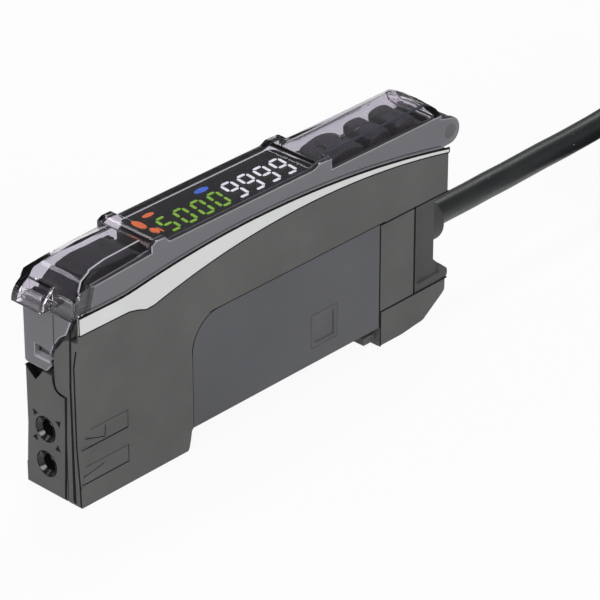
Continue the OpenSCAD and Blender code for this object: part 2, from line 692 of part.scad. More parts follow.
// Hollow nose that the finger lifts, sloping down from the hood
module cover_nose() {
    x = -nose_reach;
    low = rim_front + 0.1;
    difference() {
        side_slab(cheek_y - 0.3, half_w - 0.4) polygon([[x, low], [x + 0.1, low + 0.7], [x + 0.35, low + 1.4],
            [x + 0.9, low + 2.1], [x + 1.65, low + 2.65], [0.5, low + 3.2], [cover_wall, low + 3.4],
            [cover_wall, low]]);
        side_slab(cheek_y + 0.4, half_w - 1.1) polygon([[x + 0.7, low - over], [x + 0.8, low + 0.6],
            [x + 1.05, low + 1.1], [x + 1.5, low + 1.6], [0.1, low + 2], [over, low + 2.4],
            [over, low - over]]);
    }
}

module protective_cover() color([0.55, 0.53, 0.57, 0.5]) seated() {
    difference() {
        side_slab(-cover_y, cover_y) cover_profile();
        roof_bevel(-over, window_x - 3.2, hood_ridge, hood_ridge_end, cover_y, cover_top + hood_rise,
            hood_fall, hood_fall_end);
        roof_bevel(window_end + 1.6, case_l + 2 * ear_r, ridge_y, ridge_y, cover_y, cover_top + dome_rise,
            dome_fall, dome_fall);
        cover_hollow();
        block([roof_end, -cover_in, 0], [ear_tip + over, cover_in, cover_top + over]);
        block([roof_end - 2 * cover_wall, -cover_in, 0], [roof_end + over, cover_in, pivot_z + ear_r]);
        round_y([pivot_x, 0, pivot_z], pin_r + pin_gap, case_w + over);
        block([-over, cheek_y + 0.4, rim_front + 0.8], [cover_wall + 0.1, half_w - 1.1, rim_front + 2.3]);
    }
    cover_tongue();
    cover_nose();
}

// Rail hook, its spring and the bush

module rail_hook() color(case_grey) seated() {
    low = 0;
    x = hook_x + slide_gap;
    end = case_l - seam;
    y = half_w - 0.05;
    difference() {
        side_slab(-y, y) polygon(concat([[x, low], [heel_x, low]],
            spline([[heel_x, low], [end - 0.39 * hook_l, 0.45], [end - 0.28 * hook_l, 1.1],
                [end - 0.09 * hook_l, 2.8], [end, 3.8]], 4),
            [[end, hook_h], [x, hook_h]]));
        block([pocket_x, -guide_y - slide_gap, guide_low - slide_gap],
            [guide_x + guide_l + slide_gap, guide_y + slide_gap, hook_h + over]);
        block([guide_x - hook_pull - slide_gap, -guide_y - guide_foot - slide_gap, guide_low - slide_gap],
            [guide_x + guide_l + slide_gap, guide_y + guide_foot + slide_gap, guide_low + 1 + slide_gap]);
    }
    block([x - lip_reach, -fit_y, 0.3], [x + 0.1, fit_y, 0.3 + lip_t]);
}

module hook_spring() color([0.70, 0.71, 0.72]) seated() {
    l = guide_x - pocket_x - 2 * spring_wire_r - 0.04;
    at = [pocket_x + spring_wire_r + 0.02, 0, hook_h - spring_r - 0.5];
    n = 42;
    turn = 360 * spring_turns / n;
    swept([for (i = [0:n]) at + [l * i / n, spring_r * cos(turn * i), spring_r * sin(turn * i)]],
        spring_wire_r, 6);
}

module cable_bush() color(dark_grey) seated() {
    x = bush_x + seam;
    y = half_w - 0.05;
    low = column_z;
    top = overhang_z - seam;
    rear = x + bush_depth;
    end = case_l + 0.2;
    difference() {
        side_slab(-y, y) polygon(concat([[x, low]], arc([end - 0.6, low + 0.6], 0.6, -90, 0, 5),
            [[end, low + shelf_h - 0.5], [end - 0.6, low + shelf_h], [rear + 0.6, low + shelf_h + 1.2],
            [rear, low + shelf_h + 1.8], [rear, top], [x, top]]));
        for (side = [-1, 1])
            block([x + 0.6, min(side * (y - 0.3), side * (y + over)), low + 1.2],
                [rear + over, max(side * (y - 0.3), side * (y + over)), top - 0.6]);
    }
    translate([rear - 0.1, 0, lead_z]) rotate([0, 90, 0]) rotate_extrude()
        polygon(concat([[0, 0], [collar_r, 0]], arc([collar_r - 0.8, collar_l - 0.7], 0.8, 0, 90, 6),
            [[0, collar_l + 0.1]]));
    round_x([x - wall, 0, lead_z], stub_r, wall + 0.1);
}

// Lead, laid out straight and then folded into a hank

module cable_tube() color([0.12, 0.13, 0.13]) seated() {
    swept([for (p = lead_route) exit + p], lead_d / 2, 8);
    swept([for (p = tail_route) tail_at + p], lead_d / 2, 8);
}

// Outline of the hank: two straight runs and two folds
module racetrack(r) polygon(concat(arc([0, 0], r, 90, 270, 24), arc([hank_l, 0], r, -90, 90, 24)));

module cable_hank() color([0.12, 0.13, 0.13]) seated() translate(hank_at) linear_extrude(hank_h)
    difference() {
        racetrack(hank_out);
        racetrack(hank_in);
    }

module hank_ties() color([0.10, 0.10, 0.10]) seated() {
    fit = 0.05;
    for (side = [-1, 1])
        translate(hank_at + [hank_l / 2 - tie_w / 2, side * (hank_in + hank_out) / 2, 0]) difference() {
            translate([0, -lead_d - fit - tie_t, -tie_t])
                cube([tie_w, 2 * (lead_d + fit + tie_t), hank_h + fit + 2 * tie_t]);
            translate([-over, -lead_d - fit, -0.02])
                cube([tie_w + 2 * over, 2 * (lead_d + fit), hank_h + fit]);
        }
}

module cable_ends() color([0.40, 0.24, 0.14]) seated() {
    start = tail_at + tail_route[len(tail_route) - 1];
    for (k = [-1, 0, 1])
        translate(start + [0, k * 1.25, core_r - lead_d / 2]) rotate([0, -90, k * -3])
            cylinder(h = core_l, r = core_r);
}

main_case();
side_cover();
front_block();
stripe_near();
stripe_far();
name_plate();
signal_window_near();
signal_window_far();
top_deck();
display_window();
digit_module();
indicator_lamps();
display_board();
tact_switches();
level_rocker();
tune_button();
mode_button();
lock_lever();
fibre_clamp();
fibre_holder();
emitter_diode();
receiver_diode();
main_board();
processor_chip();
storage_capacitor();
signal_diode_near();
signal_diode_far();
lead_connector();
lead_wires();
protective_cover();
rail_hook();
hook_spring();
cable_bush();
cable_tube();
cable_hank();
hank_ties();
cable_ends();
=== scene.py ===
import json
import math

import bmesh
import bpy
from mathutils import Matrix, Vector

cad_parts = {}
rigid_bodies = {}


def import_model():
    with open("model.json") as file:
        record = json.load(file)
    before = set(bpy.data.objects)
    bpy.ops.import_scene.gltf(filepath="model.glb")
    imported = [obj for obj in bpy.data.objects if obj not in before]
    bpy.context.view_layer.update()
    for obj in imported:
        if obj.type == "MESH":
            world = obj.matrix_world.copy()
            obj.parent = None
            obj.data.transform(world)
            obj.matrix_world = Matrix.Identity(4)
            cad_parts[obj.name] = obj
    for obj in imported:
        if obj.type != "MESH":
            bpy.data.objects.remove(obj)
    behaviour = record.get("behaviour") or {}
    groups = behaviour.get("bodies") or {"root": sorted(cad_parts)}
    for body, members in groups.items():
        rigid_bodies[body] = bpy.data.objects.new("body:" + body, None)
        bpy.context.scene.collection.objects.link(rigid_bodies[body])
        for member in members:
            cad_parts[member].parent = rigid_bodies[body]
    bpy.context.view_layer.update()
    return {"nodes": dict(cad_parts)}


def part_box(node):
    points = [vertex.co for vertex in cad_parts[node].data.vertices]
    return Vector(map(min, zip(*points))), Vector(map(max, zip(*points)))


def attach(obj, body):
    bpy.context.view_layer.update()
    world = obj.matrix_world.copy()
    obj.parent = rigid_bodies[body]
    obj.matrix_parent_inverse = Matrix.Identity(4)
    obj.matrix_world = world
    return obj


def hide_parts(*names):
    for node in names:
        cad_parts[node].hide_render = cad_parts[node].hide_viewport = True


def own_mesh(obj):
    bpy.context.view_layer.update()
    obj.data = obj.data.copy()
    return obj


for stale in list(bpy.data.objects):
    bpy.data.objects.remove(stale)
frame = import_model()
nodes = frame["nodes"]

# Camera, floor and light
# A long lens on a stand looks down on the front corner and the near side. The unit stands on a
# seamless white table, with a large soft box on the near side, smaller ones in front and behind,
# and a strip above that the clear cover mirrors in its edges only.
scene = bpy.context.scene
scene.view_settings.view_transform = "Standard"
lens = bpy.data.cameras.new("product_lens")
lens.lens = 216.0
lens.sensor_width = 36.0
lens.clip_start = 0.01
camera = bpy.data.objects.new("product_camera", lens)
camera.location = (-0.29206, -0.286737, 0.247516)
camera.rotation_euler = (math.radians(60.30), 0, math.radians(-46.54))
scene.collection.objects.link(camera)
scene.camera = camera

table_mesh = bmesh.new()
bmesh.ops.create_grid(table_mesh, x_segments=1, y_segments=1, size=3)
table_data = bpy.data.meshes.new("table")
table_mesh.to_mesh(table_data)
table_mesh.free()
table = bpy.data.objects.new("table", table_data)
scene.collection.objects.link(table)

table_paper = bpy.data.materials.new("table_paper")
table_paper.use_nodes = True
paper = table_paper.node_tree
paper_shade = paper.nodes["Principled BSDF"]
paper_shade.inputs["Base Color"].default_value = (0.88, 0.88, 0.88, 1)
paper_shade.inputs["Roughness"].default_value = 0.9
paper_white = paper.nodes.new("ShaderNodeEmission")
paper_white.inputs["Color"].default_value = (1, 1, 1, 1)
paper_ray = paper.nodes.new("ShaderNodeLightPath")
paper_seen = paper_ray.outputs["Is Camera Ray"]
for ray in ("Is Transmission Ray", "Is Glossy Ray"):
    either = paper.nodes.new("ShaderNodeMath")
    either.operation = "MAXIMUM"
    paper.links.new(paper_seen, either.inputs[0])
    paper.links.new(paper_ray.outputs[ray], either.inputs[1])
    paper_seen = either.outputs[0]
white_share = paper.nodes.new("ShaderNodeMath")
white_share.operation = "MULTIPLY"
white_share.inputs[1].default_value = 0.93
paper.links.new(paper_seen, white_share.inputs[0])
paper_mix = paper.nodes.new("ShaderNodeMixShader")
paper.links.new(white_share.outputs[0], paper_mix.inputs[0])
paper.links.new(paper_shade.outputs[0], paper_mix.inputs[1])
paper.links.new(paper_white.outputs[0], paper_mix.inputs[2])
paper.links.new(paper_mix.outputs[0], paper.nodes["Material Output"].inputs["Surface"])
table_data.materials.append(table_paper)

world = bpy.data.worlds.new("studio")
scene.world = world
world.use_nodes = True
room = world.node_tree
room_ray = room.nodes.new("ShaderNodeLightPath")
room_level = room.nodes.new("ShaderNodeMapRange")
room_level.inputs["To Min"].default_value = 0.16
room_level.inputs["To Max"].default_value = 1.0
room.links.new(room_ray.outputs["Is Camera Ray"], room_level.inputs["Value"])
room.nodes["Background"].inputs["Color"].default_value = (1, 1, 1, 1)
room.links.new(room_level.outputs["Result"], room.nodes["Background"].inputs["Strength"])

unit_middle = Vector((0, 0, 0.015))
for name, spot, run, long, short, power in (
        ("side_box", (0.04, -0.78, 0.40), (1, 0, 0), 0.5, 0.5, 3.4),
        ("front_box", (-0.72, -0.20, 0.34), (0, 1, 0), 0.3, 0.3, 2.2),
        ("top_strip", (0.37, 0.28, 0.75), (-0.43, -0.04, 0.22), 0.52, 0.10, 2.6),
        ("rim_box", (-0.43, 0.54, 0.54), (1, 0, 0), 0.22, 0.22, 0.9)):
    lamp = bpy.data.lights.new(name, "AREA")
    lamp.shape = "RECTANGLE"
    lamp.size = long
    lamp.size_y = short
    lamp.energy = power
    soft_box = bpy.data.objects.new(name, lamp)
    soft_box.location = spot
    back = (Vector(spot) - unit_middle).normalized()
    up = back.cross(Vector(run)).normalized()
    soft_box.rotation_euler = Matrix((up.cross(back), up, back)).transposed().to_euler()
    scene.collection.objects.link(soft_box)

# Case shell
# A slim tub moulded in dark grey plastic with a fine spark-eroded grain. Its open near side takes
# the side plate, and the mould leaves every outer edge slightly round.
grain = bpy.data.node_groups.new("mould_grain", "ShaderNodeTree")
for label in ("Grain Scale", "Patch Scale"):
    grain.interface.new_socket(label, in_out="INPUT", socket_type="NodeSocketFloat")
for label in ("Height", "Patch", "Speck"):
    grain.interface.new_socket(label, in_out="OUTPUT", socket_type="NodeSocketFloat")
grain_in = grain.nodes.new("NodeGroupInput")
grain_out = grain.nodes.new("NodeGroupOutput")
grain_place = grain.nodes.new("ShaderNodeTexCoord")


def grain_range(value, zero, one):
    """Stretches a value of the grain between the one that becomes 0 and the one that becomes 1."""
    stretch = grain.nodes.new("ShaderNodeMapRange")
    stretch.inputs["From Min"].default_value = zero
    stretch.inputs["From Max"].default_value = one
    grain.links.new(value, stretch.inputs["Value"])
    return stretch.outputs["Result"]


grain_fine = grain.nodes.new("ShaderNodeTexNoise")
grain_fine.inputs["Detail"].default_value = 3
grain_fine.inputs["Roughness"].default_value = 0.65
grain_patch = grain.nodes.new("ShaderNodeTexNoise")
grain_patch.inputs["Detail"].default_value = 4
for noise, label in ((grain_fine, "Grain Scale"), (grain_patch, "Patch Scale")):
    grain.links.new(grain_place.outputs["Object"], noise.inputs["Vector"])
    grain.links.new(grain_in.outputs[label], noise.inputs["Scale"])
grain.links.new(grain_fine.outputs["Fac"], grain_out.inputs["Height"])
grain.links.new(grain_range(grain_patch.outputs["Fac"], 0.3, 0.7), grain_out.inputs["Patch"])
grain_dust = grain.nodes.new("ShaderNodeTexVoronoi")
grain_dust.inputs["Scale"].default_value = 700
grain.links.new(grain_place.outputs["Object"], grain_dust.inputs["Vector"])
grain_speck = grain.nodes.new("ShaderNodeMath")
grain_speck.operation = "MULTIPLY"
grain.links.new(grain_range(grain_dust.outputs["Distance"], 0.10, 0.05), grain_speck.inputs[0])
grain.links.new(grain_range(grain_patch.outputs["Fac"], 0.56, 0.66), grain_speck.inputs[1])
grain.links.new(grain_speck.outputs[0], grain_out.inputs["Speck"])


def new_finish(name, scale, patch):
    """A new material: itself, its tree, its shader, and the mould's grain at two scales."""
    finish = bpy.data.materials.new(name)
    finish.use_nodes = True
    tree = finish.node_tree
    skin = tree.nodes.new("ShaderNodeGroup")
    skin.node_tree = grain
    skin.inputs["Grain Scale"].default_value = scale
    skin.inputs["Patch Scale"].default_value = patch
    return finish, tree, tree.nodes["Principled BSDF"], skin


def colour_mix(tree, share, low, high):
    """Mixes two colours by a share. Each is a plain colour or comes out of another node."""
    mix = tree.nodes.new("ShaderNodeMix")
    mix.data_type = "RGBA"
    share_in, low_in, high_in, mixed = mix.inputs[0], mix.inputs[6], mix.inputs[7], mix.outputs[2]
    tree.links.new(share, share_in)
    for socket, colour in ((low_in, low), (high_in, high)):
        if isinstance(colour, bpy.types.NodeSocket):
            tree.links.new(colour, socket)
        else:
            socket.default_value = (*[min(c, 1) for c in colour], 1)
    return mixed


def grain_surface(tree, shade, skin, rough_low, rough_high, strength, depth):
    """Lets the gloss drift with the patches, and raises the grain as a bump."""
    gloss = tree.nodes.new("ShaderNodeMapRange")
    gloss.inputs["To Min"].default_value = rough_low
    gloss.inputs["To Max"].default_value = rough_high
    tree.links.new(skin.outputs["Patch"], gloss.inputs["Value"])
    tree.links.new(gloss.outputs["Result"], shade.inputs["Roughness"])
    relief = tree.nodes.new("ShaderNodeBump")
    relief.inputs["Strength"].default_value = strength
    relief.inputs["Distance"].default_value = depth
    tree.links.new(skin.outputs["Height"], relief.inputs["Height"])
    tree.links.new(relief.outputs["Normal"], shade.inputs["Normal"])


def moulded_finish(name, colour, rough, scale, depth, tone=0.07, patch=140, edge_wear_and_highlight=1.25,
                   dusty=0.0, spread=0.05, shine=0.5, metal=0.0):
    """A moulded plastic: a grain, drifting colour and gloss, and edges paled by wear and painted
    highlight.
    """
    finish, tree, shade, skin = new_finish(name, scale, patch)
    drift = colour_mix(tree, skin.outputs["Patch"], [c * (1 - tone) for c in colour],
                       [c * (1 + tone) for c in colour])
    # Marked edges turn paler, partly as wear and partly as painted highlight.
    wear_and_highlight = tree.nodes.new("ShaderNodeAttribute")
    wear_and_highlight.attribute_name = "wear_and_highlight"
    wear_and_highlight_share = tree.nodes.new("ShaderNodeMath")
    wear_and_highlight_share.operation = "MULTIPLY"
    tree.links.new(wear_and_highlight.outputs["Fac"], wear_and_highlight_share.inputs[0])
    tree.links.new(skin.outputs["Patch"], wear_and_highlight_share.inputs[1])
    coloured = colour_mix(tree, wear_and_highlight_share.outputs[0], drift, [c * edge_wear_and_highlight for c in colour])
    if dusty:
        dust_share = tree.nodes.new("ShaderNodeMath")
        dust_share.operation = "MULTIPLY"
        dust_share.inputs[1].default_value = dusty
        tree.links.new(skin.outputs["Speck"], dust_share.inputs[0])
        dust_grey = (0.55, 0.54, 0.52)
        coloured = colour_mix(tree, dust_share.outputs[0], coloured, dust_grey)
    tree.links.new(coloured, shade.inputs["Base Color"])
    shade.inputs["Specular IOR Level"].default_value = shine
    shade.inputs["Metallic"].default_value = metal
    grain_surface(tree, shade, skin, rough + spread, rough - spread, strength=0.5, depth=depth)
    return finish


weld = 2e-6


def cad_copy(node):
    """A welded copy of a CAD mesh."""
    shape = bmesh.new()
    shape.from_mesh(nodes[node].data)
    bmesh.ops.remove_doubles(shape, verts=shape.verts, dist=weld)
    return shape


def join_flat(shape, degrees=1.5):
    """Joins neighbouring faces of one finish that lie almost in one plane."""
    bmesh.ops.dissolve_limit(shape, angle_limit=math.radians(degrees), verts=shape.verts,
                             edges=shape.edges, delimit={"MATERIAL"})


def round_edges(shape, edges, radius, steps, clamp=False):
    """Rounds edges and gives back the new faces."""
    return bmesh.ops.bevel(shape, geom=edges, offset=radius, offset_type="OFFSET", segments=steps,
                           profile=0.5, affect="EDGES", material=-1, clamp_overlap=clamp)["faces"]


def mark_wear_and_highlight(faces, wear_and_highlight):
    """Marks faces for paler colour, as wear and painted highlight, in the layer that the finishes
    read.
    """
    for f in faces:
        for face_corner in f.loops:
            face_corner[wear_and_highlight] = 1.0


def soften(shape, edge, steps=2, corner=30):
    """Rounds the sharp edges that have room for it, and marks the rounded faces for paler colour,
    partly wear and partly painted highlight.
    """
    bmesh.ops.remove_doubles(shape, verts=shape.verts, dist=weld)
    join_flat(shape)
    room_needed = 2.2 * edge
    sharp = []
    for e in shape.edges:
        long = e.calc_length()
        folded = len(e.link_faces) == 2 and e.calc_face_angle(0) > math.radians(corner)
        if folded and long > 2 * edge:
            thin = min(f.calc_area() / long for f in e.link_faces)
            short = min(n.calc_length() for v in e.verts for n in v.link_edges)
            if min(thin, short) > room_needed:
                sharp.append(e)
    wear_and_highlight = shape.loops.layers.float.get("wear_and_highlight") or shape.loops.layers.float.new("wear_and_highlight")
    mark_wear_and_highlight(round_edges(shape, sharp, edge, steps), wear_and_highlight)


def put(name, shape, body, slot, *finishes, crease=38):
    """Makes a bmesh a piece of the unit, shaded smooth up to its sharp edges."""
    data = bpy.data.meshes.new(name)
    shape.to_mesh(data)
    shape.free()
    data.shade_smooth()
    data.set_sharp_from_angle(angle=math.radians(crease))
    for finish in finishes:
        data.materials.append(finish)
    piece = bpy.data.objects.new(name, data)
    scene.collection.objects.link(piece)
    even = piece.modifiers.new("even_normals", "WEIGHTED_NORMAL")
    even.keep_sharp = True
    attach(piece, body)
    return piece


def moulded(name, node, body, slot, edge, finish, steps=2):
    """A CAD piece with the round edges that its mould gives it."""
    shape = cad_copy(node)
    soften(shape, edge, steps)
    piece = put(name, shape, body, slot, finish)
    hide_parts(node)
    return piece


case_plastic = moulded_finish("case_plastic", (0.091, 0.091, 0.089), 0.62, 4200, 0.00004,
                              edge_wear_and_highlight=1.2)
case_edge = 0.00015
moulded("case_shell", "main_case", "case", "case_plastic", case_edge, case_plastic)

# Side plate
# The near wall of the case is a separate flat moulding in the same plastic, snapped over the tub.
# Two shallow frames near its front show how far a fibre goes in, each with a scribed leader line.
moulded("side_plate", "side_cover", "case", "case_plastic", case_edge, case_plastic)


def at(x, y, z):
    """A place given in millimetres from the front face of the case."""
    return Vector((x - 34.6, y, z)) / 1000


def strip(shape, start, end, width, out, past=0.6):
    """A thin flat strip on a face that looks out, longer than its run by a share of its width."""
    thick = 0.00003
    run = (end - start).normalized()
    axes = Matrix((run, out, run.cross(out))).transposed().to_4x4()
    size = Matrix.Diagonal(((end - start).length + width * past, thick, width, 1))
    bmesh.ops.create_cube(shape, size=1, matrix=Matrix.Translation((start + end) / 2) @ axes @ size)


near_y = -5.0
nearward = Vector((0, -1, 0))
scribe_wide = 0.00011
scribe = bmesh.new()
for x0, z0, x1, z1 in ((0.96, 10.0, 4.3, 8.95), (4.3, 8.95, 4.4, 10.6), (0.5, 4.6, 4.1, 5.15),
                       (0.3, 8.52, 8.3, 8.52), (0.3, 3.42, 8.3, 3.42)):
    strip(scribe, at(x0, near_y, z0), at(x1, near_y, z1), scribe_wide, nearward, past=0)
line_black = moulded_finish("black_lines_and_shade", (0.012, 0.012, 0.012), 0.7, 5000, 0.00001, shine=0.08)
put("scribed_lines", scribe, "case", "case_plastic", line_black)

# Joints and painted notch shade
# The mouldings of the near side meet in open joints that look black: round the column, along the
# overhang and the heel, at both edges of the stripe and down the front. Two black strips on the
# floor and wall of the notch under the tongue of the cover are painted shade.
joints = bmesh.new()
for x0, z0, x1, z1, width in (
        (55.42, 3.2, 55.42, 18.9, 0.24), (55.42, 18.85, 69.0, 18.85, 0.24),
        (62.34, 5.6, 62.34, 18.9, 0.34), (55.6, 5.48, 69.0, 5.48, 0.26),
        (23.0, 19.05, 55.3, 19.05, 0.12)):
    strip(joints, at(x0, near_y, z0), at(x1, near_y, z1), width / 1000, nearward)
front_x = -0.005
frontward = Vector((-1, 0, 0))
corner_joint = [(-4.86, 0.3), (-4.78, 3), (-4.36, 9), (-4.36, 20.5), (-4.82, 22.9)]
flange_joint = [(-3.93, 25.6), (-3.63, 17.4), (-3.74, 0.5)]
block_joint = [(-2.75, 15.5), (-2.05, 0.4)]
for run, width in ((corner_joint, 0.00026), (flange_joint, 0.00036), (block_joint, 0.00036)):
    for start, end in zip(run, run[1:]):
        strip(joints, at(front_x, *start), at(front_x, *end), width, frontward)
# Painted shade: black strips on the notch's floor and wall under the tongue.
notch_deep, notch_wide, notch_wall = 1.14, 0.0029, 0.0011
notch_wall_out = Vector((0, -0.62, 0.784)).normalized()
strip(joints, at(notch_deep, 3.9, 16.8), at(notch_deep, 1.0, 16.8), notch_wide, frontward)
strip(joints, at(0.58, 4.45, 17.18), at(0.58, 2.8, 15.88), notch_wall, notch_wall_out)
broad, fine, lift = 0.00034, 0.00018, 5e-6
for node, facing in (("stripe_near", nearward), ("front_block", frontward)):
    part = cad_copy(node)
    join_flat(part, 0.5)
    outer = max(v.co.dot(facing) for v in part.verts) - 2 * lift
    flat = [f for f in part.faces
            if f.normal.dot(facing) > 0.99 and f.calc_center_median().dot(facing) > outer]
    rim_loops = [k for f in flat for k in f.loops if not all(n in flat for n in k.edge.link_faces)]
    for loop in rim_loops:
        start, end = loop.vert.co, loop.link_loop_next.vert.co
        out = (end - start).cross(facing).normalized()
        if node == "stripe_near":
            width = broad if out.z > 0.3 else fine
            shift = out * width * 0.45 + facing * lift
        elif max(start.y, end.y) < -0.0004 and min(start.z, end.z) > 0.0115:
            width = broad
            shift = facing * lift - out * width * 0.4
        else:
            continue
        strip(joints, start + shift, end + shift, width, facing)
    part.free()
put("joints", joints, "case", "case_plastic", line_black)

# Port block
# The front of the case is a block with two countersunk ports for the fibres, and a recess above
# them for the tongue of the cover. It is moulded in the case's plastic, with small raised arrows on
# its face that point at the ports. The faces inside the ports are painted black as shade.
port_block = moulded("port_block", "front_block", "case", "case_plastic", 0.00014, case_plastic,
                     steps=3)
port_block.data.materials.append(line_black)
port_y, port_low_z, port_high_z = 1.3, 4.1, 9.2
port_r, face_skin = 0.0019, 0.00005
# Painted shade: faces inside each port, behind its front face, take the black finish.
for face in port_block.data.polygons:
    for z in (port_low_z, port_high_z):
        away = face.center - at(0, port_y, z)
        if away.x > face_skin and away.yz.length < port_r:
            face.material_index = 1


def pull_out(shape, by):
    """Pulls the flat faces of a shape out to thin solids."""
    pulled = bmesh.ops.extrude_face_region(shape, geom=list(shape.faces))["geom"]
    moved = [g for g in pulled if isinstance(g, bmesh.types.BMVert)]
    bmesh.ops.translate(shape, vec=by, verts=moved)
    bmesh.ops.recalc_face_normals(shape, faces=shape.faces)


arrow_r, arrow_thick = 0.00058, 0.00002
arrows = bmesh.new()
for y, z, aim in ((3.15, 11.0, -50), (-1.15, 11.05, 225), (3.16, 7.3, 10), (-0.9, 7.2, 150)):
    turn = (Matrix.Rotation(math.radians(-90), 4, "Y")
            @ Matrix.Rotation(math.radians(aim), 4, "Z"))
    bmesh.ops.create_circle(arrows, cap_ends=True, segments=3, radius=arrow_r,
                            matrix=Matrix.Translation(at(0.006, y, z)) @ turn)
pull_out(arrows, (-arrow_thick, 0, 0))
put("port_arrows", arrows, "case", "case_plastic", line_black)

# Port sleeves
# Each port has a polished black lead-in with eight flats, which guides the cut end of a fibre. It
# is moulded as a thin ring and pressed into the countersink.
sleeve_gloss = moulded_finish("sleeve_gloss", (0.008, 0.008, 0.008), 0.2, 2500, 0.000006)
sleeve_r, sleeve_taper, sleeve_deep, sleeve_thick, sleeve_turn = 0.00178, 0.68, 0.00056, 0.00005, 10
for name, z in (("port_sleeve_low", port_low_z), ("port_sleeve_high", port_high_z)):
    sleeve = bmesh.new()
    bmesh.ops.create_circle(sleeve, cap_ends=False, segments=8, radius=sleeve_r)
    sleeve_in = bmesh.ops.extrude_edge_only(sleeve, edges=sleeve.edges[:])["geom"]
    sleeve_in = [g for g in sleeve_in if isinstance(g, bmesh.types.BMVert)]
    bmesh.ops.scale(sleeve, verts=sleeve_in, vec=(sleeve_taper, sleeve_taper, 1))
    bmesh.ops.translate(sleeve, verts=sleeve_in, vec=(0, 0, sleeve_deep))
    bmesh.ops.recalc_face_normals(sleeve, faces=sleeve.faces)
    bmesh.ops.solidify(sleeve, geom=sleeve.faces[:], thickness=sleeve_thick)
    turn = (Matrix.Rotation(math.radians(90), 4, "Y")
            @ Matrix.Rotation(math.radians(sleeve_turn), 4, "Z"))
    bmesh.ops.transform(sleeve, verts=sleeve.verts,
                        matrix=Matrix.Translation(at(-0.01, port_y, z)) @ turn)
    bmesh.ops.recalc_face_normals(sleeve, faces=sleeve.faces)
    put(name, sleeve, "case", "dark_plastic", sleeve_gloss)

# Stripes
# A curved inlay of pale satin plastic runs along the rim on each side. It is moulded on its own and
# pressed into a shallow groove.


def dress(node, finish):
    """Gives a CAD piece its finish and leaves its shape as it is."""
    nodes[node].data.materials.clear()
    nodes[node].data.materials.append(finish)


stripe_satin = moulded_finish("stripe_satin", (0.71, 0.72, 0.71), 0.42, 5200, 0.000012, tone=0.03,
                              edge_wear_and_highlight=1.05)
dress("stripe_near", stripe_satin)
dress("stripe_far", stripe_satin)

# Name plate
# A thin grey film with one round corner is bonded into a pocket of the side plate. Its face is
# satin, with a faint slow drift in its tone.
plate_film = moulded_finish("plate_film", (0.074, 0.076, 0.085), 0.48, 3000, 0.00001, tone=0.05,
                            patch=60)
dress("name_plate", plate_film)

# Signal windows
# Two square panes of dark infrared plastic, one in each side, let neighbouring units talk. Each
# pane has a border with a scribed square inside it.
pane_dark = moulded_finish("pane_dark", (0.060, 0.060, 0.067), 0.30, 2500, 0.000008, tone=0.05,
                           patch=200)
pane_line = moulded_finish("pane_line", (0.022, 0.022, 0.024), 0.45, 3000, 0.000008)
border, groove_wide, groove_deep = 0.00095, 0.00012, 0.0001
for name, node, outward in (("signal_pane_near", "signal_window_near", -1),
                            ("signal_pane_far", "signal_window_far", 1)):
    pane = cad_copy(node)
    join_flat(pane)
    face = max(pane.faces, key=lambda f: f.normal.y * outward)
    bmesh.ops.inset_individual(pane, faces=[face], thickness=border)
    groove = bmesh.ops.inset_individual(pane, faces=[face], thickness=groove_wide,
                                        depth=-groove_deep)
    for f in groove["faces"]:
        f.material_index = 1
    piece = put(name, pane, "case", "smoke_window", pane_dark, pane_line)
    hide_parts(node)

# Deck
# A black-grey moulding drops between the walls of the case and carries everything under the cover:
# the bezel of the display, the wells of the buttons, the lever's ears and the hinge pins.
deck_plastic = moulded_finish("deck_plastic", (0.030, 0.030, 0.032), 0.5, 3600, 0.00003)
moulded("control_deck", "top_deck", "case", "dark_plastic", 0.0001, deck_plastic)

# Display
# A polished black pane covers two rows of seven-segment digits and a few lamps. The lit bars and
# marks show through it, so they are laid on its face as thin glowing shapes.
pane_black = moulded_finish("pane_black", (0.006, 0.006, 0.008), 0.10, 1500, 0.000002, tone=0.2,
                            spread=0.03)
moulded("display_pane", "display_window", "case", "display_glass", 0.00012, pane_black,
        steps=3)
lit_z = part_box("display_window")[1].z * 1000 + 0.015
lit_thick = 0.00002


def glow(name, colour, strength):
    """A lit resin: black when it is off, with its light a little uneven over the bar."""
    finish, tree, shade, skin = new_finish(name, scale=3000, patch=900)
    level = colour_mix(tree, skin.outputs["Patch"], [c * 0.86 for c in colour],
                       [c * 1.08 for c in colour])
    tree.links.new(level, shade.inputs["Emission Color"])
    shade.inputs["Base Color"].default_value = (0.01, 0.01, 0.01, 1)
    shade.inputs["Emission Strength"].default_value = strength
    shade.inputs["Roughness"].default_value = 0.4
    return finish


